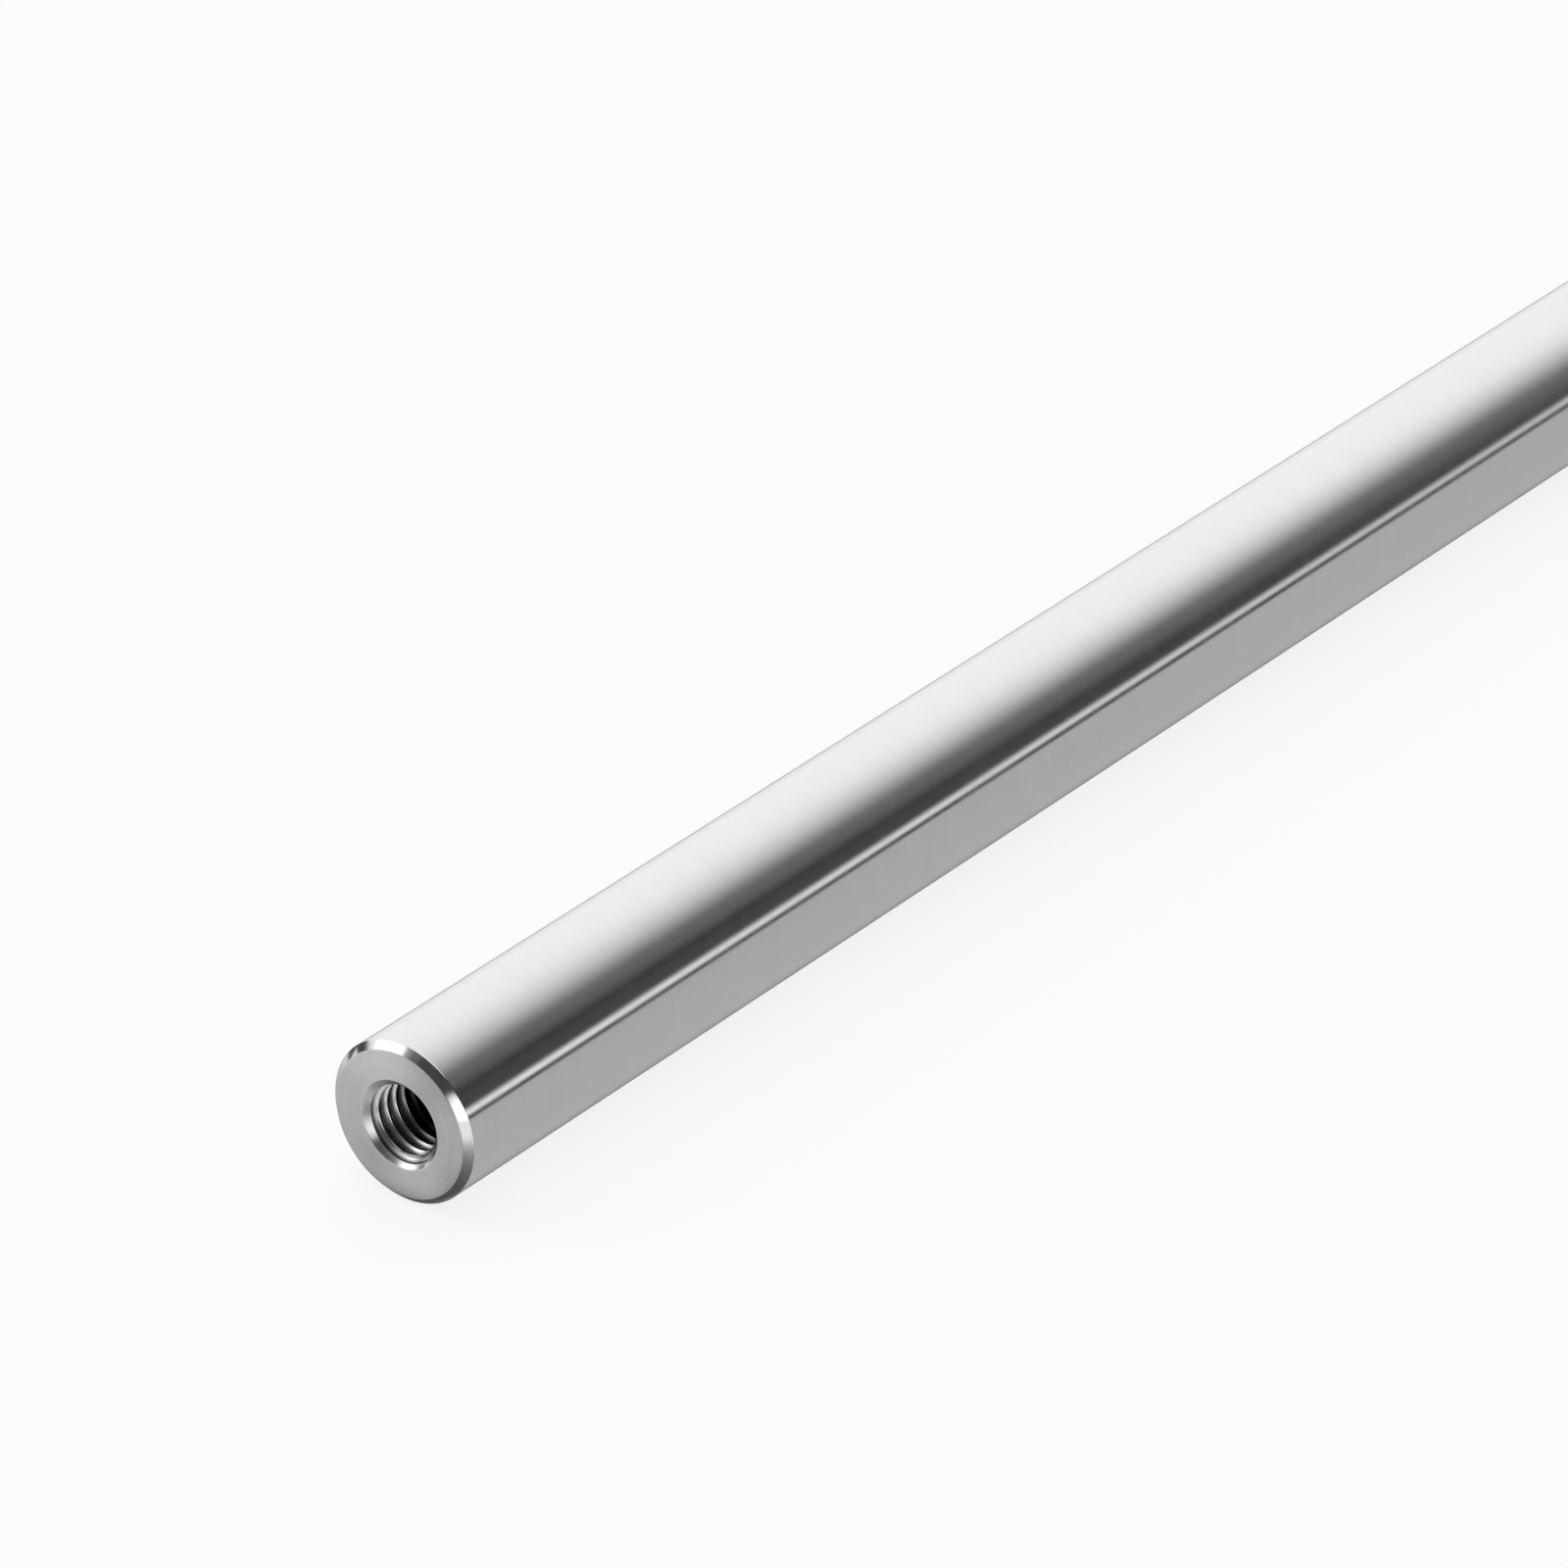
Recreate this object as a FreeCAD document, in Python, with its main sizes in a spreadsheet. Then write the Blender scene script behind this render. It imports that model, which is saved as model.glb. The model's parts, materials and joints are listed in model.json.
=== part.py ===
import FreeCAD, Part
import Sketcher

import math
import os


# A ground round shaft, lying along X, with a tapped blind hole in its -X end.
# The origin is on the shaft's axis, halfway along it. All sizes are in millimetres.

NODE = "linear_shaft"

# Alias in the sheet, size, and what the size is. Angles are in degrees.
DRIVING_SIZES = [
    ("shaft_diameter", 20.0, "ground outer diameter"),
    ("shaft_length", 300.0, "overall length of the cut piece"),
    ("end_chamfer", 0.9, "leg of the 45 degree chamfer round each end"),
    ("tap_drill_diameter", 8.5, "tapping size drill for M10 x 1.5"),
    ("thread_diameter", 10.0, "nominal diameter of the thread"),
    ("thread_pitch", 1.5, "pitch of the thread"),
    ("thread_length", 20.0, "full thread, from the end face"),
    ("runout_turns", 4.0, "turns of plain drilled hole left past the full thread"),
    ("countersink_margin", 1.0, "how much wider the mouth is than the thread"),
    ("countersink_angle", 90.0, "included angle of the countersink"),
    ("drill_point_angle", 118.0, "included angle of the drill's point"),
]

# Alias in the sheet, and the formula that gives the size from the ones above.
DERIVED_SIZES = [
    ("mouth_diameter", "thread_diameter + countersink_margin"),
    ("drill_depth", "thread_length + runout_turns * thread_pitch"),
]


def make_sheet(doc):
    """Put the driving sizes and the ones worked out from them in one sheet."""
    sheet = doc.addObject("Spreadsheet::Sheet", "Sizes")
    row = 1
    for alias, value, note in DRIVING_SIZES:
        sheet.set(f"A{row}", note)
        sheet.set(f"B{row}", str(value))
        sheet.setAlias(f"B{row}", alias)
        row += 1
    for alias, formula in DERIVED_SIZES:
        sheet.set(f"A{row}", alias.replace("_", " "))
        sheet.set(f"B{row}", f"={formula}")
        sheet.setAlias(f"B{row}", alias)
        row += 1
    doc.recompute()
    return sheet


def origin_plane(body, role):
    """Find one of the body's own origin planes by its role."""
    return next(item for item in body.Origin.OriginFeatures if item.Role == role)


def circle_sketch(body, name, support, diameter_alias):
    """A sketch of one circle, centred on the shaft's axis."""
    sketch = body.newObject("Sketcher::SketchObject", name)
    sketch.AttachmentSupport = support
    sketch.MapMode = "FlatFace"
    centre = FreeCAD.Vector(0, 0, 0)
    normal = FreeCAD.Vector(0, 0, 1)
    circle = sketch.addGeometry(Part.Circle(centre, normal, 1.0), False)
    sketch.addConstraint(Sketcher.Constraint("Coincident", circle, 3, -1, 1))
    size = sketch.addConstraint(Sketcher.Constraint("Diameter", circle, 2.0))
    sketch.setExpression(f"Constraints[{size}]", f"Sizes.{diameter_alias}")
    return sketch


def end_edges(shape, half_length):
    """Name the round edges at the two ends of the plain bar."""
    names = []
    for number, edge in enumerate(shape.Edges, start=1):
        at_an_end = abs(abs(edge.CenterOfMass.x) - half_length) < 0.001
        if at_an_end and isinstance(edge.Curve, Part.Circle):
            names.append(f"Edge{number}")
    return names


def tapped_end_face(shape):
    """Name the flat end face that looks along -X."""
    for number, face in enumerate(shape.Faces, start=1):
        is_flat = isinstance(face.Surface, Part.Plane)
        if is_flat and face.normalAt(0, 0).x < -0.99:
            return f"Face{number}"
    raise RuntimeError("the bar has no flat end at -X")


def make_shaft(doc, sheet):
    """Bar, chamfered ends, and the drilled and countersunk hole for the thread."""
    body = doc.addObject("PartDesign::Body", "LinearShaft")
    body.Label = NODE

    section = circle_sketch(body, "BarSection", (origin_plane(body, "YZ_Plane"), [""]), "shaft_diameter")
    bar = body.newObject("PartDesign::Pad", "Bar")
    bar.Profile = section
    bar.SideType = "Symmetric"
    bar.setExpression("Length", "Sizes.shaft_length")
    doc.recompute()

    chamfer = body.newObject("PartDesign::Chamfer", "EndChamfers")
    chamfer.Base = (bar, end_edges(bar.Shape, float(sheet.shaft_length) / 2))
    chamfer.setExpression("Size", "Sizes.end_chamfer")
    doc.recompute()

    end_face = (chamfer, [tapped_end_face(chamfer.Shape)])
    hole_circle = circle_sketch(body, "HoleCircle", end_face, "tap_drill_diameter")
    doc.recompute()

    hole = body.newObject("PartDesign::Hole", "TappedHole")
    hole.Profile = hole_circle
    doc.recompute()
    hole.ThreadType = "None"
    hole.DepthType = "Dimension"
    hole.HoleCutType = "Countersink"
    hole.DrillPoint = "Angled"
    hole.setExpression("Diameter", "Sizes.tap_drill_diameter")
    hole.setExpression("Depth", "Sizes.drill_depth")
    hole.setExpression("DrillPointAngle", "Sizes.drill_point_angle")
    hole.setExpression("HoleCutDiameter", "Sizes.mouth_diameter")
    hole.setExpression("HoleCutCountersinkAngle", "Sizes.countersink_angle")
    doc.recompute()
    return body


def frustum_mean_square(wide, narrow):
    """Mean squared radius of a cone frustum."""
    return (wide ** 2 + wide * narrow + narrow ** 2) / 3


def expected_volume(sheet):
    """Volume of the finished shaft, worked out by hand to prove the features cut."""
    radius = float(sheet.shaft_diameter) / 2
    length = float(sheet.shaft_length)
    leg = float(sheet.end_chamfer)
    drill = float(sheet.tap_drill_diameter) / 2
    mouth = float(sheet.mouth_diameter) / 2
    depth = float(sheet.drill_depth)
    sink_depth = (mouth - drill) / math.tan(math.radians(float(sheet.countersink_angle) / 2))
    point_depth = drill / math.tan(math.radians(float(sheet.drill_point_angle) / 2))

    bar = math.pi * radius ** 2 * length
    chamfered_ring = math.pi * leg * (radius ** 2 - frustum_mean_square(radius, radius - leg))
    drilled = math.pi * drill ** 2 * depth
    point = math.pi * drill ** 2 * point_depth / 3
    sunk_ring = math.pi * sink_depth * (frustum_mean_square(mouth, drill) - drill ** 2)
    return bar - 2 * chamfered_ring - drilled - point - sunk_ring


def check(doc, body, sheet):
    """Stop if a feature failed, or if the hole or a chamfer cut nothing."""
    for item in doc.Objects:
        if "Invalid" in item.State or "Error" in item.State:
            raise RuntimeError(f"{item.Name} failed: {item.State}")
    shape = body.Shape
    if shape.isNull() or not shape.isValid():
        raise RuntimeError("the shaft's shape is null or not valid")
    expected = expected_volume(sheet)
    if abs(shape.Volume / expected - 1) > 1e-5:
        raise RuntimeError(f"volume is {shape.Volume:.2f} mm3, not {expected:.2f} mm3")


document = FreeCAD.newDocument("LinearShaft")
sizes = make_sheet(document)
shaft = make_shaft(document, sizes)
check(document, shaft, sizes)
os.makedirs("parts", exist_ok=True)
shaft.Shape.exportStep(f"parts/{NODE}.step")
print(NODE, "volume", round(shaft.Shape.Volume, 2), "mm3,", shaft.Shape.BoundBox)
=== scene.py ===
import json
import math

import bpy
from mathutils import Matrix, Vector


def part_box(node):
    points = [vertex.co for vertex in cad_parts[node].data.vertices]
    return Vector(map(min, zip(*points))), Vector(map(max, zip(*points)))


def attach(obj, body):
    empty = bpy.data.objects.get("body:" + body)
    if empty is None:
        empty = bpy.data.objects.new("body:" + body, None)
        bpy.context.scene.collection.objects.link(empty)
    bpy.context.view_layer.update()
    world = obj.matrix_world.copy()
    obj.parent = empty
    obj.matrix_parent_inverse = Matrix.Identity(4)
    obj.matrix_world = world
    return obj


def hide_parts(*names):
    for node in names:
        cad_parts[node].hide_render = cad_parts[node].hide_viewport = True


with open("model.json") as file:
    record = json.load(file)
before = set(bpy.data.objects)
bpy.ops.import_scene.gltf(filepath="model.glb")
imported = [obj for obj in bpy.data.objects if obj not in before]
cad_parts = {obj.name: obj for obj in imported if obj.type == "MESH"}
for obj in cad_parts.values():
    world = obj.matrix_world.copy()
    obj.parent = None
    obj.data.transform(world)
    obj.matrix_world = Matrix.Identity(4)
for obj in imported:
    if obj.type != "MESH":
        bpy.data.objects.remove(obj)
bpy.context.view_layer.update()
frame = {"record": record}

# A ground and polished round shaft, with a tapped blind hole in its near end, on a pale studio floor.
# It lies along X, with its axis through the origin. Lengths are in metres.

NODE = "linear_shaft"
MM = 0.001

# The shaft's sizes, from the frame.
LOW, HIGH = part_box(NODE)
MOUNTS = {mount["name"]: mount for mount in frame["record"]["mounts"]}
LENGTH = HIGH.x - LOW.x
RADIUS = MOUNTS["guide_surface"]["dims"]["r_mm"] * MM
CHAMFER = (LENGTH - MOUNTS["guide_surface"]["dims"]["length_mm"] * MM) / 2
DRILL_RADIUS = MOUNTS["end_thread"]["dims"]["r_mm"] * MM
DRILL_DEPTH = (
    MOUNTS["end_thread"]["pos_m"][0] - LOW.x + MOUNTS["end_thread"]["dims"]["length_mm"] * MM / 2
)
COUNTERSINK_DEPTH = DRILL_DEPTH - MOUNTS["end_thread"]["dims"]["length_mm"] * MM
MOUTH_RADIUS = DRILL_RADIUS + COUNTERSINK_DEPTH

# The thread, M10 x 1.5, which the frame leaves to this script. The phase is the depth of a groove's middle
# on the +Y side. The start is where the mesh of the threaded wall begins, still on the countersink.
THREAD_RADIUS = 5.0 * MM
PITCH = 1.5 * MM
THREAD_LENGTH = 20.0 * MM
THREAD_PHASE = 1.016 * MM
THREAD_START = 0.4 * MM
RUNOUT_TURNS = 2.5
GROOVE_DEPTH = THREAD_RADIUS - DRILL_RADIUS
ROOT_HALF_WIDTH = PITCH / 16
FLANK_SLOPE = 1 / math.tan(math.radians(30))
THREAD_EASE = 0.04 * MM
EASE_SAMPLES = (-1.0, -0.5, 0.0, 0.5, 1.0)
DRILL_POINT_HALF_ANGLE = math.radians(59)

# How finely the mesh is cut, from which angle an edge stays sharp, and how near the countersink's points
# are to its cone.
SIDES = 192
EASE_STEPS = 4
EDGE_EASE = 0.08 * MM
MOUTH_EASE = 0.11 * MM
FLANK_RINGS = 48
FACE_RINGS = 4
SHARP_ANGLE = math.radians(32)
ON_CONE = 1e-7

# The camera. The near face's centre falls on this pixel of the photograph, this far in front of the lens.
PHOTO_SIZE = 1600
FACE_PIXEL = (407.3, 1148.1)
FACE_DISTANCE = 0.99289
CAMERA_AZIMUTH = math.radians(-52.23)
CAMERA_ELEVATION = math.radians(29.32)
LENS_MM = 206.35
SENSOR_MM = 36.0

# Where each part of the surface lies on the bake map, in map units.
MAP_NAME = "OFBake"
FLANK_MAP_HEIGHT = 0.35
NEAR_DISC = (0.31, 0.67, 0.30)
FAR_DISC = (0.80, 0.84, 0.14)
BORE_MAP = (0.63, 0.38, 0.98, 0.67)
BORE_MAP_DEPTH = DRILL_DEPTH + DRILL_RADIUS

MATERIAL_ORDER = [
    "ground_chrome", "turned_face", "turned_chamfer", "countersink", "cut_thread", "drilled_bore",
]

# The grain of the tool marks. Broad marks lie over the fine ones, this many times as far apart.
GRAIN_ROUGHNESS = 0.6
BROAD_SPACING = 12
BROAD_DRIFT = 110.0
BROAD_DETAIL = 2.0
GRAIN_RANGE = (0.3, 0.7)
MARKS_AROUND = 0.25

# The thread's level and roughness from its crests to its roots, and the fine marks of the tap.
# Painted shade in the grooves: the colour darkens into the roots from this height above them.
ROOT_SHADE_HEIGHT = 0.50 * MM
CREST_LEVEL = 0.82
SHADED_ROOT_LEVEL = 0.06
CREST_ROUGHNESS = 0.20
ROOT_ROUGHNESS = 0.36
TAP_MARK_SPACING = 0.05 * MM
TAP_MARK_DRIFT = 500.0
TAP_MARK_DEPTH = 0.0025 * MM

# Painted shade deep in the hole: the thread darkens between these depths, down to this share of its colour.
DEEP_SHADE_DEPTHS = (4.4 * MM, 7.2 * MM)
DEEP_SHADE_SHARE = 0.05

# Painted shade on the inner edge of the countersink, which is darker from here on, down to this share of
# its colour.
INNER_SHADE_DEPTHS = (0.92 * MM, 1.06 * MM)
INNER_SHADE_SHARE = 0.35


def turn(column):
    """Angle round the shaft of a column of vertices, from +Y towards +Z."""
    return 2 * math.pi * column / SIDES


class TurnedMesh:
    """Vertices, faces, materials and map places of the shaft, as they are made."""

    def __init__(self):
        self.points = []
        self.faces = []
        self.materials = []
        self.places = []

    def point(self, depth, radius, angle):
        """Add a vertex, depth being measured inwards from the tapped end face."""
        self.points.append((LOW.x + depth, radius * math.cos(angle), radius * math.sin(angle)))
        return len(self.points) - 1

    def ring(self, depth, radius):
        """Add a closed ring of vertices."""
        return [self.point(depth, radius, turn(column)) for column in range(SIDES)]

    def face(self, corners, material, place):
        """Add a face from (vertex, column) corners, leaving out the ones that repeat."""
        kept = []
        for corner in corners:
            if corner[0] not in [other[0] for other in kept]:
                kept.append(corner)
        if len(kept) > 2:
            self.faces.append([vertex for vertex, column in kept])
            self.materials.append(MATERIAL_ORDER.index(material))
            self.places.append([place(self.points[vertex], column) for vertex, column in kept])

    def apex(self, depth):
        """Add a vertex on the axis, as a ring of no size."""
        return [self.point(depth, 0.0, 0.0)] * SIDES

    def band(self, first, second, material, place):
        """Join two rings, the first being nearer to the drill's point along the surface."""
        for column in range(SIDES):
            after = (column + 1) % SIDES
            corners = [
                (first[column], column),
                (first[after], column + 1),
                (second[after], column + 1),
                (second[column], column),
            ]
            self.face(corners, material, place)


def flank_place(point, column):
    """Place on the map of the ground outside, unrolled."""
    return ((point[0] - LOW.x) / LENGTH, column / SIDES * FLANK_MAP_HEIGHT)


def disc_place(disc):
    """Place on the map of an end, seen straight on."""
    across, up, size = disc

    def place(point, column):
        return (across + point[1] / RADIUS * size, up + point[2] / RADIUS * size)

    return place


def bore_place(point, column):
    """Place on the map of the hole's wall, unrolled."""
    left, bottom, right, top = BORE_MAP
    along = (point[0] - LOW.x) / BORE_MAP_DEPTH
    return (left + (right - left) * along, bottom + (top - bottom) * column / SIDES)


def eased(before, corner, after, size):
    """Outline points of a small round in place of a corner."""
    corner, before, after = Vector(corner), Vector(before), Vector(after)
    start = corner + (before - corner).normalized() * size
    end = corner + (after - corner).normalized() * size
    found = []
    for step in range(EASE_STEPS + 1):
        share = step / EASE_STEPS
        found.append((1 - share) ** 2 * start + 2 * share * (1 - share) * corner + share**2 * end)
    return found


def sharp_groove(offset):
    """Depth of the 60 degree thread groove at a distance along the axis from its middle."""
    return max(0.0, GROOVE_DEPTH - max(0.0, abs(offset) - ROOT_HALF_WIDTH) * FLANK_SLOPE)


def groove(offset):
    """The groove's depth with its corners eased, as the mean over a short stretch."""
    depths = [sharp_groove(offset + share * THREAD_EASE) for share in EASE_SAMPLES]
    return sum(depths) / len(depths)


def pitch_offsets():
    """Places along one pitch at which the outline is cut, from the middle of one land to the next."""
    land_edge = ROOT_HALF_WIDTH + GROOVE_DEPTH / FLANK_SLOPE
    half = [
        land_edge + THREAD_EASE,
        land_edge,
        land_edge - THREAD_EASE,
        (land_edge + ROOT_HALF_WIDTH) / 2,
        ROOT_HALF_WIDTH + THREAD_EASE,
        ROOT_HALF_WIDTH,
        ROOT_HALF_WIDTH - THREAD_EASE,
    ]
    return [-PITCH / 2] + [-place for place in half] + [0.0] + half[::-1]


def cone_radius(depth):
    """Radius of the countersink."""
    return MOUTH_RADIUS - depth


def thread_radius(depth, offset):
    """Radius of the threaded wall, whose grooves run out towards its end."""
    runout = min(1.0, max(0.0, (THREAD_LENGTH - depth) / (RUNOUT_TURNS * PITCH)))
    return DRILL_RADIUS + groove(offset) * runout


def column_wall(helix, rows):
    """One column of the wall, with a row moved onto each line where a groove meets the countersink."""
    depths = [min(max(helix + along, THREAD_START), THREAD_LENGTH) for along, offset in rows]
    threads = [thread_radius(depth, offset) for depth, (along, offset) in zip(depths, rows)]
    wall = [(depth, max(cone_radius(depth), thread)) for depth, thread in zip(depths, threads)]
    gaps = [cone_radius(depth) - thread for depth, thread in zip(depths, threads)]
    for row in range(len(rows) - 1):
        before, after = gaps[row], gaps[row + 1]
        if before * after < 0:
            share = before / (before - after)
            depth = depths[row] + share * (depths[row + 1] - depths[row])
            nearer = row if share < 0.5 and depths[row] > THREAD_START else row + 1
            wall[nearer] = (depth, cone_radius(depth))
    return wall


def add_thread(mesh, start_ring, end_ring):
    """The tapped wall, in columns whose rows follow the right-hand helix."""
    offsets = pitch_offsets()
    turns = math.ceil(THREAD_LENGTH / PITCH) + 2
    rows = [(number * PITCH + offset, offset) for number in range(turns + 1) for offset in offsets]
    columns = []
    for column in range(SIDES):
        helix = THREAD_PHASE + PITCH * (column / SIDES - 2)
        found = []
        for depth, radius in column_wall(helix, rows):
            if depth <= THREAD_START:
                found.append(start_ring[column])
            elif depth >= THREAD_LENGTH:
                found.append(end_ring[column])
            else:
                found.append(mesh.point(depth, radius, turn(column)))
        columns.append(found)
    # One full turn further on, the rows of the first column stand one pitch deeper.
    seam = columns[0][len(offsets):] + [end_ring[0]] * len(offsets)
    columns.append(seam)
    for column in range(SIDES):
        here, there = columns[column], columns[column + 1]
        for row in range(len(rows) - 1):
            corners = [
                (here[row], column),
                (here[row + 1], column),
                (there[row + 1], column + 1),
                (there[row], column + 1),
            ]
            for part in split_on_cone(mesh, corners):
                on_cone = all(is_on_cone(mesh.points[vertex]) for vertex, _ in part)
                mesh.face(part, "countersink" if on_cone else "cut_thread", bore_place)


def is_on_cone(point):
    """True where the countersink, and not the thread, is the wall."""
    radius = math.hypot(point[1], point[2])
    return abs(radius - cone_radius(point[0] - LOW.x)) < ON_CONE


def split_on_cone(mesh, corners):
    """Cut a face that is partly on the countersink along the diagonal that lies on it."""
    first, second, third, fourth = corners
    on_cone = [is_on_cone(mesh.points[vertex]) for vertex, _ in corners]
    if all(on_cone) or not any(on_cone):
        return [corners]
    if on_cone[0] and on_cone[2]:
        return [[first, second, third], [first, third, fourth]]
    if on_cone[1] and on_cone[3]:
        return [[first, second, fourth], [second, third, fourth]]
    return [corners]


def build_shaft():
    """The whole shaft as one closed mesh, from the drill's point out to the far end."""
    mesh = TurnedMesh()
    near_place, far_place = disc_place(NEAR_DISC), disc_place(FAR_DISC)

    tip_depth = DRILL_DEPTH + DRILL_RADIUS / math.tan(DRILL_POINT_HALF_ANGLE)
    bottom = mesh.ring(DRILL_DEPTH, DRILL_RADIUS)
    mesh.band(mesh.apex(tip_depth), bottom, "drilled_bore", bore_place)
    thread_end = mesh.ring(THREAD_LENGTH, DRILL_RADIUS)
    mesh.band(bottom, thread_end, "drilled_bore", bore_place)
    thread_start = mesh.ring(THREAD_START, cone_radius(THREAD_START))
    add_thread(mesh, thread_start, thread_end)

    sink = (THREAD_START, cone_radius(THREAD_START))
    mouth = (0.0, MOUTH_RADIUS)
    face_edge = (0.0, RADIUS - CHAMFER)
    flank_start = (CHAMFER, RADIUS)
    flank_end = (LENGTH - CHAMFER, RADIUS)
    far_edge = (LENGTH, RADIUS - CHAMFER)
    middle = (LENGTH, 0.0)
    outline = [
        (eased(sink, mouth, face_edge, MOUTH_EASE), "countersink", near_place),
        (stretch(mouth, face_edge, FACE_RINGS), "turned_face", near_place),
        (eased(mouth, face_edge, flank_start, EDGE_EASE), "turned_face", near_place),
        (eased(face_edge, flank_start, flank_end, EDGE_EASE), "turned_chamfer", near_place),
        (stretch(flank_start, flank_end, FLANK_RINGS), "ground_chrome", flank_place),
        (eased(flank_start, flank_end, far_edge, EDGE_EASE), "ground_chrome", flank_place),
        (eased(flank_end, far_edge, middle, EDGE_EASE), "turned_chamfer", far_place),
        (stretch(far_edge, middle, FACE_RINGS), "turned_face", far_place),
    ]
    ring = thread_start
    for points, material, place in outline:
        ring = add_outline(mesh, ring, points, material, place)
    mesh.band(ring, mesh.apex(LENGTH), "turned_face", far_place)
    return mesh


def stretch(start, end, parts):
    """Points between two corners of the outline, without the corners."""
    start, end = Vector(start), Vector(end)
    return [start.lerp(end, part / parts) for part in range(1, parts)]


def add_outline(mesh, ring, outline, material, place):
    """Carry the surface on from a ring along points of the outline."""
    for depth, radius in outline:
        following = mesh.ring(depth, radius)
        mesh.band(ring, following, material, place)
        ring = following
    return ring


def make_shaft(materials):
    """Turn the collected mesh into the piece."""
    mesh = build_shaft()
    data = bpy.data.meshes.new("shaft")
    data.from_pydata(mesh.points, [], mesh.faces)
    for name in MATERIAL_ORDER:
        data.materials.append(materials[name])
    layer = data.uv_layers.new(name=MAP_NAME)
    for polygon, material, places in zip(data.polygons, mesh.materials, mesh.places):
        polygon.material_index = material
        polygon.use_smooth = True
        for loop, place in zip(polygon.loop_indices, places):
            layer.data[loop].uv = place
    data.validate()
    data.set_sharp_from_angle(angle=SHARP_ANGLE)
    piece = bpy.data.objects.new("shaft", data)
    bpy.context.scene.collection.objects.link(piece)
    weighted = piece.modifiers.new("even_shading", "WEIGHTED_NORMAL")
    weighted.mode = "FACE_AREA"
    weighted.weight = 100
    weighted.keep_sharp = True
    return piece


def add(tree, kind, inputs=None, **settings):
    """Add a shader node, set its properties, and set or link its inputs."""
    made = tree.nodes.new(kind)
    for name, value in settings.items():
        setattr(made, name, value)
    for name, value in (inputs or {}).items():
        if isinstance(value, bpy.types.NodeSocket):
            tree.links.new(value, made.inputs[name])
        else:
            made.inputs[name].default_value = value
    return made


def math_node(tree, operation, first, second=0.0):
    """One arithmetic step."""
    return add(tree, "ShaderNodeMath", {0: first, 1: second}, operation=operation).outputs[0]


def fade(tree, value, low, high, low_value=0.0, high_value=1.0):
    """A smooth step of value from low to high."""
    inputs = {
        "Value": value,
        "From Min": low,
        "From Max": high,
        "To Min": low_value,
        "To Max": high_value,
    }
    return add(tree, "ShaderNodeMapRange", inputs, interpolation_type="SMOOTHSTEP").outputs[0]


def fade_out(tree, value, low, high):
    """A smooth step of value down from one at low to nothing at high."""
    return fade(tree, value, low, high, 1.0, 0.0)


def new_material(name):
    """A material with an empty node tree and an output."""
    material = bpy.data.materials.new(name)
    material.use_nodes = True
    material.node_tree.nodes.clear()
    output = add(material.node_tree, "ShaderNodeOutputMaterial")
    return material, material.node_tree, output


def grey(level):
    """A neutral colour."""
    return (level, level, level, 1.0)


def marks(tree, along, spacing, drift, detail=3.0):
    """Fine tool marks: noise that changes fast along one measure and slowly across the surface."""
    place = add(tree, "ShaderNodeTexCoord").outputs["Object"]
    split = add(tree, "ShaderNodeSeparateXYZ", {"Vector": place})
    fast = math_node(tree, "MULTIPLY", along, 1 / spacing)
    slow_y = math_node(tree, "MULTIPLY", split.outputs["Y"], drift)
    slow_z = math_node(tree, "MULTIPLY", split.outputs["Z"], drift)
    vector = add(tree, "ShaderNodeCombineXYZ", {"X": fast, "Y": slow_y, "Z": slow_z}).outputs[0]
    inputs = {"Vector": vector, "Scale": 1.0, "Detail": detail, "Roughness": GRAIN_ROUGHNESS}
    return add(tree, "ShaderNodeTexNoise", inputs).outputs[0]


def axial_place(tree):
    """Place along the shaft."""
    place = add(tree, "ShaderNodeTexCoord").outputs["Object"]
    return add(tree, "ShaderNodeSeparateXYZ", {"Vector": place}).outputs["X"]


def radial_place(tree):
    """Distance from the shaft's axis."""
    place = add(tree, "ShaderNodeTexCoord").outputs["Object"]
    inputs = {0: place, 1: (0.0, 1.0, 1.0)}
    across = add(tree, "ShaderNodeVectorMath", inputs, operation="MULTIPLY").outputs[0]
    return add(tree, "ShaderNodeVectorMath", {0: across}, operation="LENGTH").outputs["Value"]


def depth_place(tree):
    """Depth below the tapped end face."""
    return math_node(tree, "SUBTRACT", axial_place(tree), LOW.x)


def metal(
    name, along, level, roughness, anisotropic, mark_spacing, mark_depth,
    level_swing=0.03, rough_swing=0.05, drift=75.0, shade_depths=None,
):
    """Bare or plated steel whose tool marks run round the axis, with painted shade past the shade depths if
    given.
    """
    material, tree, output = new_material(name)
    fine = marks(tree, along(tree), mark_spacing, drift)
    broad = marks(tree, along(tree), mark_spacing * BROAD_SPACING, BROAD_DRIFT, BROAD_DETAIL)
    tone = math_node(tree, "MULTIPLY", math_node(tree, "ADD", fine, broad), 0.5)
    shade = fade(tree, tone, *GRAIN_RANGE, level - level_swing, level + level_swing)
    # Painted shade, darker past the given depths.
    if shade_depths:
        shade = product(tree, shade, fade(tree, depth_place(tree), *shade_depths, 1.0, INNER_SHADE_SHARE))
    rough = fade(tree, tone, *GRAIN_RANGE, roughness + rough_swing, roughness - rough_swing)
    bump = add(tree, "ShaderNodeBump", {"Height": fine, "Strength": 1.0, "Distance": mark_depth})
    around = add(tree, "ShaderNodeTangent", direction_type="RADIAL", axis="X").outputs[0]
    inputs = {
        "Base Color": shade,
        "Metallic": 1.0,
        "Roughness": rough,
        "Anisotropic": anisotropic,
        "Anisotropic Rotation": MARKS_AROUND,
        "Tangent": around,
        "Normal": bump.outputs[0],
    }
    surface = add(tree, "ShaderNodeBsdfPrincipled", inputs)
    tree.links.new(surface.outputs[0], output.inputs["Surface"])
    return material


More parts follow.
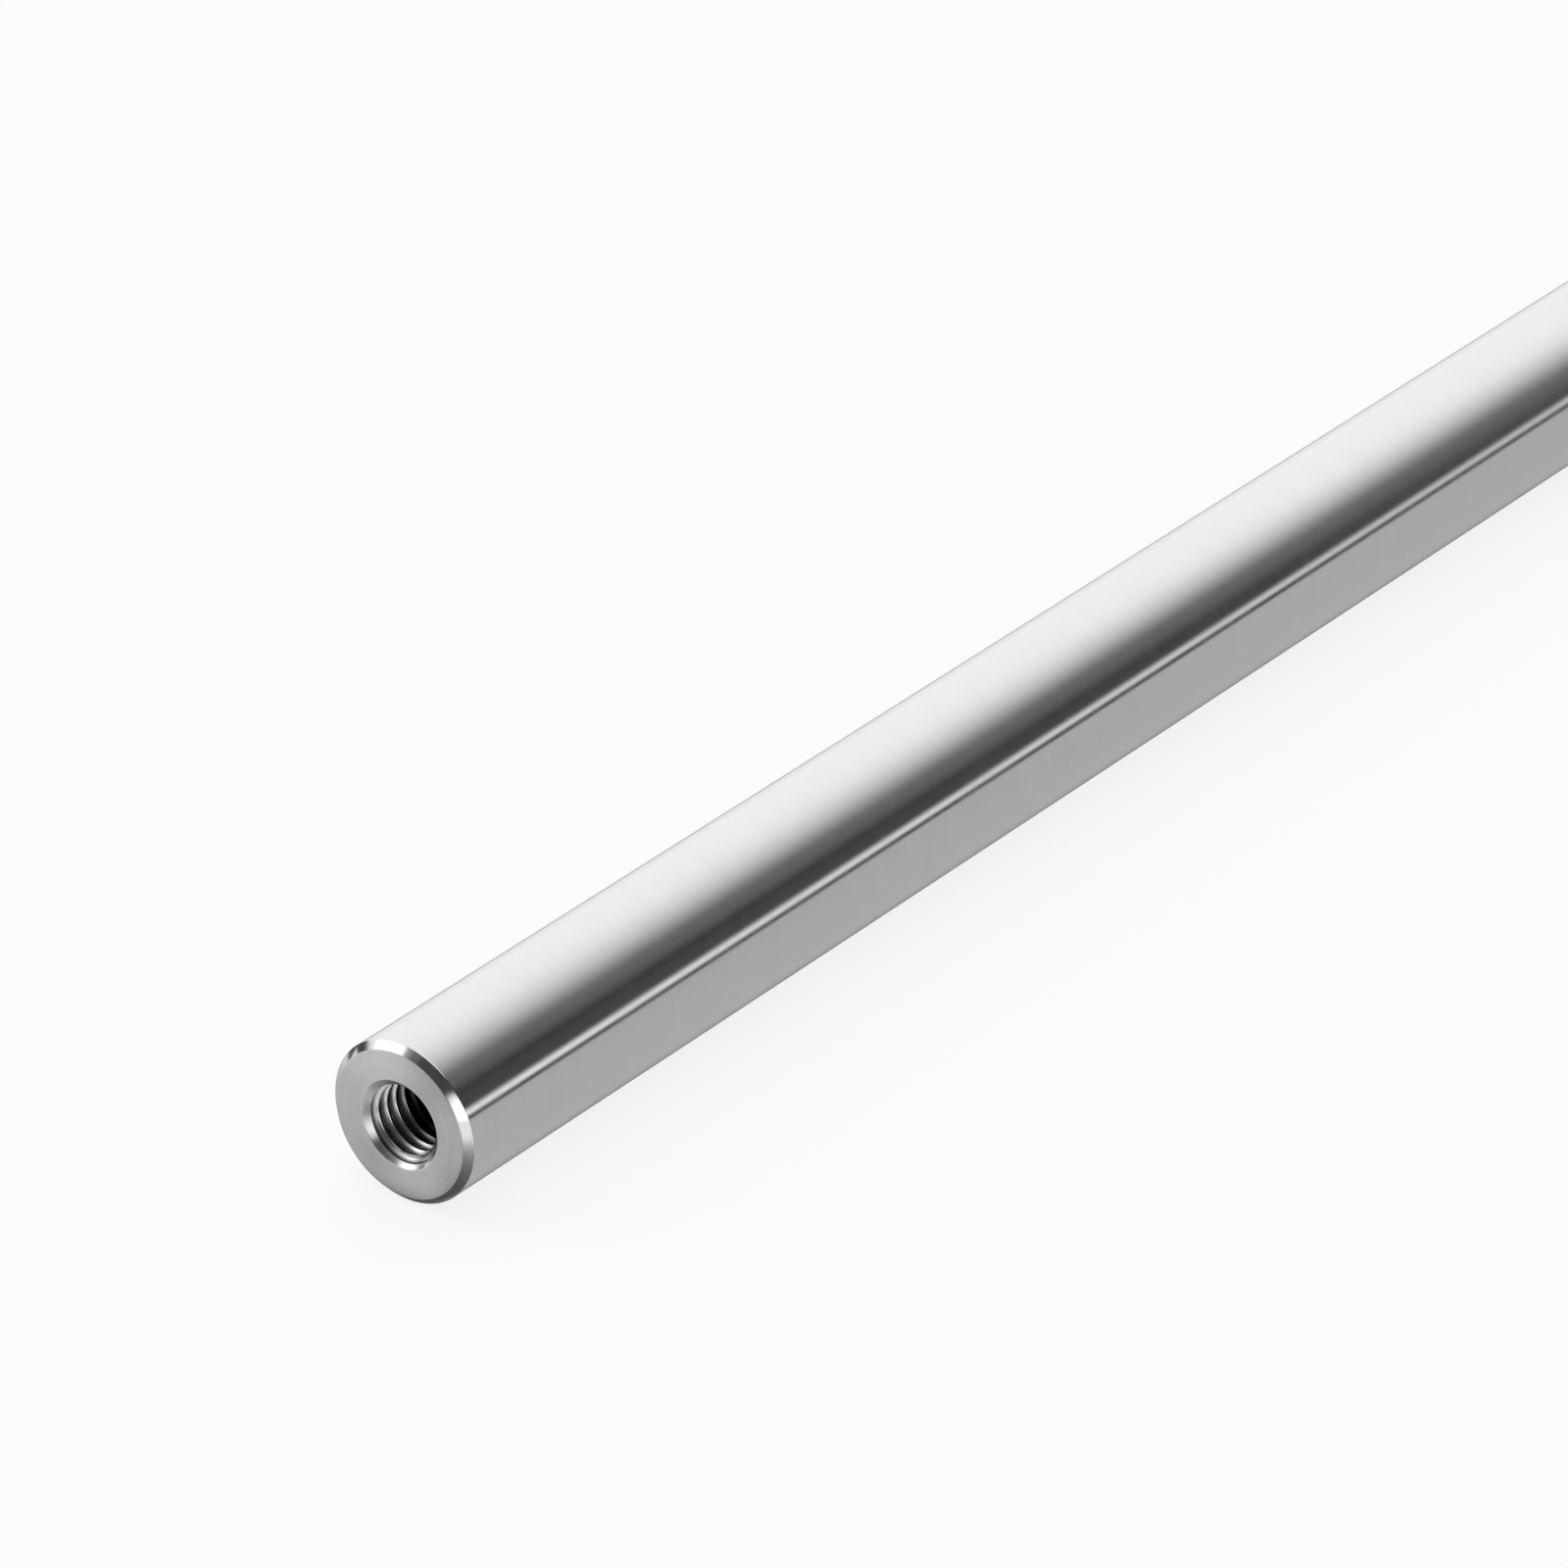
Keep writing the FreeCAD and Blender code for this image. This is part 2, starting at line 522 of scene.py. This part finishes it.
def thread_metal():
    """Tapped steel, bright near the mouth, with painted shade in the roots and deep down."""
    material, tree, output = new_material("cut_thread")
    radius = radial_place(tree)
    # Painted shade in the thread's roots.
    shade = fade(tree, radius, THREAD_RADIUS - ROOT_SHADE_HEIGHT, THREAD_RADIUS, CREST_LEVEL, SHADED_ROOT_LEVEL)
    # Painted shade, darker deeper in the hole.
    shade = product(tree, shade, fade(tree, depth_place(tree), *DEEP_SHADE_DEPTHS, 1.0, DEEP_SHADE_SHARE))
    rough = fade(tree, radius, DRILL_RADIUS, THREAD_RADIUS, CREST_ROUGHNESS, ROOT_ROUGHNESS)
    fine = marks(tree, axial_place(tree), TAP_MARK_SPACING, TAP_MARK_DRIFT)
    bump = add(tree, "ShaderNodeBump", {"Height": fine, "Strength": 1.0, "Distance": TAP_MARK_DEPTH})
    inputs = {"Base Color": shade, "Metallic": 1.0, "Roughness": rough, "Normal": bump.outputs[0]}
    surface = add(tree, "ShaderNodeBsdfPrincipled", inputs)
    tree.links.new(surface.outputs[0], output.inputs["Surface"])
    return material


def make_materials():
    """The finishes of the shaft's surfaces."""
    return {
        "ground_chrome": metal(
            "ground_chrome", axial_place, level=0.84, roughness=0.13, anisotropic=0.5,
            mark_spacing=0.28 * MM, mark_depth=0.0005 * MM, level_swing=0.01, rough_swing=0.02,
        ),
        "turned_face": metal(
            "turned_face", radial_place, level=0.67, roughness=0.42, anisotropic=0.7,
            mark_spacing=0.13 * MM, mark_depth=0.0024 * MM, rough_swing=0.04,
        ),
        "turned_chamfer": metal(
            "turned_chamfer", radial_place, level=0.79, roughness=0.13, anisotropic=0.5,
            mark_spacing=0.08 * MM, mark_depth=0.0010 * MM, level_swing=0.06, drift=420.0,
        ),
        # The countersink has painted shade on its inner edge.
        "countersink": metal(
            "countersink", radial_place, level=0.71, roughness=0.29, anisotropic=0.4,
            mark_spacing=0.10 * MM, mark_depth=0.0020 * MM, rough_swing=0.06, shade_depths=INNER_SHADE_DEPTHS,
        ),
        "cut_thread": thread_metal(),
        # The bore's near-black level is painted shade deep in the hole.
        "drilled_bore": metal(
            "drilled_bore", axial_place, level=0.08, roughness=0.45, anisotropic=0.2,
            mark_spacing=0.12 * MM, mark_depth=0.003 * MM, level_swing=0.02,
        ),
    }


# The studio's light, by direction. A softbox behind the shaft fades out towards the camera's side.
# Its fading edge is sharper on the side of the far end.
SOFTBOX_SIDE = (0.444, 0.871, -0.201)
SOFTBOX_FADE = [
    (-1.0, 0.06),
    (-0.36, 0.06),
    (-0.33, 0.03),
    (-0.27, 0.12),
    (-0.15, 0.14),
    (-0.065, 0.29),
    (0.01, 0.44),
    (0.147, 0.64),
    (0.29, 0.79),
    (0.45, 0.92),
    (0.62, 0.98),
    (1.0, 1.0),
]
EDGE_PIVOT = -0.13
EDGE_STARTS = 0.65
EDGE_GAIN = 5.0

# A pale wall low behind the camera. Its top slopes along the shaft. It reaches the floor only past the
# tapped end, and gets weaker towards the far end.
WALL_FRONT = (-0.60, -0.40)
WALL_SLOPE = 0.19
WALL_TOP = (0.24, 0.345)
WALL_FOOT = (0.05, 0.095)
WALL_ON_FLOOR = (-0.1, 0.2)
WALL_LENGTH = (-0.7, 0.65)
WALL_STRENGTHS = (1.35, 0.85)
WALL_FAR_PART = (0.66, 0.78)
WALL_FAR_SHARE = 0.55

# A low strip light beyond the tapped end.
STRIP_NEAR_EDGE = (0.15, 0.45)
STRIP_FAR_EDGE = (0.78, 0.88)
STRIP_TOP = (0.38, 0.48)
STRIP_SIDE = (-0.45, -0.25)
STRIP_STRENGTH = 0.3

# A dark screen low behind the tapped end, and the share of the softbox's light that it leaves.
SCREEN_EDGE = (0.70, 0.88)
SCREEN_TOP = (0.12, 0.30)
SCREEN_SIDE = (0.2, 0.5)
SCREEN_SHADE = 0.07

# A key light behind and above the tapped end, and a broad light straight overhead.
KEY_SIDE = (-0.43, 0.72, 0.55)
KEY_EDGE = (0.945, 0.965)
KEY_STRENGTH = 1.0
OVERHEAD_EDGE = (0.81, 0.90)
OVERHEAD_STRENGTH = 1.1
OVERHEAD_ON_FLOOR = 1.9

BACKGROUND_LEVEL = 0.98


def softbox_light(tree, side, x):
    """The softbox's level, with its fading edge."""
    past_start = math_node(tree, "MAXIMUM", math_node(tree, "SUBTRACT", x, EDGE_STARTS), 0.0)
    gain = multiply_add(tree, past_start, EDGE_GAIN, 1.0)
    from_pivot = math_node(tree, "SUBTRACT", dot(tree, side, SOFTBOX_SIDE), EDGE_PIVOT)
    measure = multiply_add(tree, from_pivot, gain, EDGE_PIVOT)
    ramp = add(tree, "ShaderNodeValToRGB", {"Fac": multiply_add(tree, measure, 0.5, 0.5)})
    fill_ramp(ramp.color_ramp, SOFTBOX_FADE)
    return ramp.outputs[0]


def wall_light(tree, x, y, z):
    """The pale wall, which shows as a thin bright line along the shaft."""
    clear_of_foot = fade(tree, z, *WALL_FOOT)
    on_floor = fade_out(tree, x, *WALL_ON_FLOOR)
    return product(
        tree,
        fade_out(tree, multiply_add(tree, x, WALL_SLOPE, z), *WALL_TOP),
        math_node(tree, "MAXIMUM", clear_of_foot, on_floor),
        fade_out(tree, y, *WALL_FRONT),
        fade(tree, x, *WALL_LENGTH, *WALL_STRENGTHS),
        fade(tree, x, *WALL_FAR_PART, 1.0, WALL_FAR_SHARE),
    )


def strip_light(tree, x, y, z):
    """The low strip light."""
    return product(
        tree,
        fade(tree, y, *STRIP_NEAR_EDGE),
        fade(tree, y, *STRIP_FAR_EDGE, STRIP_STRENGTH, 0.0),
        fade_out(tree, z, *STRIP_TOP),
        fade_out(tree, x, *STRIP_SIDE),
    )


def past_screen(tree, x, y, z):
    """The share of the softbox's light that gets past the dark screen."""
    screen = product(
        tree,
        fade(tree, y, *SCREEN_EDGE),
        fade_out(tree, z, *SCREEN_TOP),
        fade_out(tree, x, *SCREEN_SIDE),
    )
    return fade(tree, screen, 0.0, 1.0, 1.0, SCREEN_SHADE)


def make_world():
    """Soft studio light as seen by the object, and a white background as seen by the camera."""
    world = bpy.data.worlds.new("studio")
    bpy.context.scene.world = world
    world.use_nodes = True
    tree = world.node_tree
    tree.nodes.clear()
    side = add(tree, "ShaderNodeTexCoord").outputs["Generated"]
    x, y, z = add(tree, "ShaderNodeSeparateXYZ", {"Vector": side}).outputs
    paths = add(tree, "ShaderNodeLightPath").outputs

    softbox = product(tree, softbox_light(tree, side, x), past_screen(tree, x, y, z))
    key = fade(tree, dot(tree, side, KEY_SIDE), *KEY_EDGE, 0.0, KEY_STRENGTH)
    strength = mix(tree, paths["Is Diffuse Ray"], OVERHEAD_STRENGTH, OVERHEAD_ON_FLOOR)
    overhead = product(tree, fade(tree, z, *OVERHEAD_EDGE), strength)
    level = math_node(tree, "MAXIMUM", softbox, overhead)
    for light in (wall_light(tree, x, y, z), strip_light(tree, x, y, z), key):
        level = math_node(tree, "ADD", level, light)

    studio = add(tree, "ShaderNodeBackground", {"Color": grey(1.0), "Strength": level})
    white = add(tree, "ShaderNodeBackground", {"Color": grey(BACKGROUND_LEVEL), "Strength": 1.0})
    inputs = {0: paths["Is Camera Ray"], 1: studio.outputs[0], 2: white.outputs[0]}
    both = add(tree, "ShaderNodeMixShader", inputs)
    output = add(tree, "ShaderNodeOutputWorld")
    tree.links.new(both.outputs[0], output.inputs["Surface"])


def multiply_add(tree, value, factor, offset):
    """Value times factor plus offset."""
    inputs = {0: value, 1: factor, 2: offset}
    return add(tree, "ShaderNodeMath", inputs, operation="MULTIPLY_ADD").outputs[0]


def product(tree, first, *others):
    """Several values multiplied together."""
    for other in others:
        first = math_node(tree, "MULTIPLY", first, other)
    return first


def dot(tree, direction, side):
    """How far a direction points to one side."""
    inputs = {0: direction, 1: side}
    return add(tree, "ShaderNodeVectorMath", inputs, operation="DOT_PRODUCT").outputs["Value"]


def fill_ramp(ramp, stops):
    """Set a ramp's stops from (direction measure, level) pairs, the measure running from -1 to 1."""
    while len(ramp.elements) < len(stops):
        ramp.elements.new(0.5)
    for element, (measure, level) in zip(ramp.elements, stops):
        element.position = (measure + 1) / 2
        element.color = grey(level)


FLOOR_SIZE = 6.0
FLOOR_COLOUR = 0.9
FLOOR_WHITE_SHARE = 0.85

# Levels of the floor as the metal sees it, a painted glow, and the distances over which each one fades.
# Beside the shaft, with a painted shadow at the contact and painted shade at the dark screen's foot:
CONTACT_EDGE = (2 * MM, 9 * MM)
CONTACT_LEVELS = (0.12, 0.46)
BEHIND_EDGE = (20 * MM, 85 * MM)
BEHIND_LEVEL = 0.46
LEAST_BEHIND = 1 * MM
SCREEN_FOOT_STARTS = (55 * MM, 110 * MM)
SCREEN_FOOT_SLOPES = (0.2, 0.55)
SCREEN_FOOT_SHADE = 0.07

# Past the tapped end, with a small painted bright patch in front of the hole, and painted shade far out,
# straight ahead:
END_EDGE = (0.3 * MM, 1.8 * MM)
AHEAD_EDGE = (5 * MM, 52 * MM)
AHEAD_LEVELS = (0.08, 0.97)
NEAR_AXIS_EDGE = (-6.5 * MM, -1.5 * MM)
NEAR_AXIS_LEVEL = 0.66
OFF_FACE_EDGE = (-3 * MM, -0.2 * MM)
WIDE_EDGE = (22 * MM, 75 * MM)
WIDE_LEVEL = 0.34
BRIGHT_PATCH_PLACE = (-12.5 * MM, -4.0 * MM, 0.0)
BRIGHT_PATCH_EDGE = (1.5 * MM, 5.0 * MM)
FAR_OUT = (40 * MM, 80 * MM)
FAR_OUT_SIDES = (0.30, 0.55)
FAR_OUT_SHADE = 0.10


def floor_along_shaft(tree, from_end, y):
    """The level beside and behind the shaft, with a painted shadow at the contact and painted shade at the
    dark screen's foot.
    """
    # Painted shadow along the contact.
    beside = fade(tree, math_node(tree, "ABSOLUTE", y), *CONTACT_EDGE, *CONTACT_LEVELS)
    behind = fade(tree, y, *BEHIND_EDGE, 0.0, BEHIND_LEVEL)
    slope = math_node(tree, "DIVIDE", from_end, math_node(tree, "MAXIMUM", y, LEAST_BEHIND))
    # Painted shade at the dark screen's foot.
    beside_screen = fade(tree, slope, *SCREEN_FOOT_SLOPES, SCREEN_FOOT_SHADE, 1.0)
    before_screen = fade_out(tree, y, *SCREEN_FOOT_STARTS)
    clear = math_node(tree, "MAXIMUM", beside_screen, before_screen)
    return product(tree, math_node(tree, "ADD", beside, behind), clear)


def floor_past_end(tree, from_end, y):
    """The level past the tapped end, with painted shade close to it and far out, straight ahead, and a
    painted bright patch.
    """
    flat = add(tree, "ShaderNodeCombineXYZ", {"X": from_end, "Y": y}).outputs[0]
    distance = add(tree, "ShaderNodeVectorMath", {0: flat}, operation="LENGTH").outputs["Value"]
    ahead = fade(tree, distance, *AHEAD_EDGE, *AHEAD_LEVELS)
    near_axis = fade(tree, y, *NEAR_AXIS_EDGE, 0.0, NEAR_AXIS_LEVEL)
    wide = fade(tree, distance, *WIDE_EDGE, 0.0, WIDE_LEVEL)
    on_far_side = multiply_add(tree, near_axis, fade_out(tree, from_end, *OFF_FACE_EDGE), wide)
    # A painted bright patch on the floor in front of the hole, which the thread's crests reflect as glints.
    from_bright_patch = add(tree, "ShaderNodeVectorMath", {0: flat, 1: BRIGHT_PATCH_PLACE}, operation="DISTANCE")
    bright_patch = fade_out(tree, from_bright_patch.outputs["Value"], *BRIGHT_PATCH_EDGE)
    level = math_node(tree, "MAXIMUM", math_node(tree, "MAXIMUM", ahead, on_far_side), bright_patch)

    slope = math_node(tree, "DIVIDE", math_node(tree, "ABSOLUTE", y), distance)
    # Painted shade far out, straight ahead.
    aside = fade(tree, slope, *FAR_OUT_SIDES, FAR_OUT_SHADE, 1.0)
    return product(tree, level, mix(tree, fade(tree, distance, *FAR_OUT), 1.0, aside))


def floor_in_metal(tree):
    """The floor's level as the metal sees it, a painted glow with painted shadow, painted shade and a
    painted bright patch.
    """
    place = add(tree, "ShaderNodeNewGeometry").outputs["Position"]
    x, y, z = add(tree, "ShaderNodeSeparateXYZ", {"Vector": place}).outputs
    from_end = math_node(tree, "SUBTRACT", x, LOW.x)
    along_shaft = floor_along_shaft(tree, from_end, y)
    past_end = floor_past_end(tree, from_end, y)
    return mix(tree, fade_out(tree, from_end, *END_EDGE), along_shaft, past_end)


def mix(tree, share, first, second):
    """A value between two others."""
    step = math_node(tree, "SUBTRACT", second, first)
    return multiply_add(tree, step, share, first)


def make_floor():
    """A pale floor, near white to the camera, with the shaft's soft shadow."""
    half = FLOOR_SIZE / 2
    corners = [(-half, -half, 0.0), (half, -half, 0.0), (half, half, 0.0), (-half, half, 0.0)]
    data = bpy.data.meshes.new("floor")
    data.from_pydata(corners, [], [(0, 1, 2, 3)])
    floor = bpy.data.objects.new("floor", data)
    bpy.context.scene.collection.objects.link(floor)
    floor.location.z = -RADIUS

    material, tree, output = new_material("pale_floor")
    paths = add(tree, "ShaderNodeLightPath")
    glossy, through = paths.outputs["Is Glossy Ray"], paths.outputs["Is Transmission Ray"]
    reflected = math_node(tree, "MAXIMUM", glossy, through)
    plain = add(tree, "ShaderNodeBsdfDiffuse", {"Color": grey(FLOOR_COLOUR)})
    for_metal = add(tree, "ShaderNodeEmission", {"Strength": floor_in_metal(tree)})
    for_camera = add(tree, "ShaderNodeEmission", {"Strength": 1.0})
    to_camera = math_node(tree, "MULTIPLY", paths.outputs["Is Camera Ray"], FLOOR_WHITE_SHARE)
    first = add(tree, "ShaderNodeMixShader", {0: reflected, 1: plain.outputs[0], 2: for_metal.outputs[0]})
    second = add(tree, "ShaderNodeMixShader", {0: to_camera, 1: first.outputs[0], 2: for_camera.outputs[0]})
    tree.links.new(second.outputs[0], output.inputs["Surface"])
    data.materials.append(material)


def make_camera():
    """The photograph's view of the shaft, without roll."""
    back = Vector((
        math.sin(CAMERA_AZIMUTH) * math.cos(CAMERA_ELEVATION),
        -math.cos(CAMERA_AZIMUTH) * math.cos(CAMERA_ELEVATION),
        math.sin(CAMERA_ELEVATION),
    ))
    right = Vector((0.0, 0.0, 1.0)).cross(back).normalized()
    up = back.cross(right)
    focal_pixels = LENS_MM / SENSOR_MM * PHOTO_SIZE
    across = (FACE_PIXEL[0] - PHOTO_SIZE / 2) / focal_pixels * FACE_DISTANCE
    down = (FACE_PIXEL[1] - PHOTO_SIZE / 2) / focal_pixels * FACE_DISTANCE
    near_face = Vector((LOW.x, 0.0, 0.0))

    data = bpy.data.cameras.new("camera")
    data.lens = LENS_MM
    data.sensor_width = SENSOR_MM
    data.clip_start = 0.05
    data.clip_end = 20.0
    camera = bpy.data.objects.new("camera", data)
    bpy.context.scene.collection.objects.link(camera)
    camera.location = near_face - across * right + down * up + FACE_DISTANCE * back
    camera.rotation_mode = "QUATERNION"
    camera.rotation_quaternion = (-back).to_track_quat("-Z", "Y")
    bpy.context.scene.camera = camera


bpy.context.scene.view_settings.view_transform = "Standard"
shaft = make_shaft(make_materials())
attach(shaft, "root")
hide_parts(NODE)
make_floor()
make_world()
make_camera()
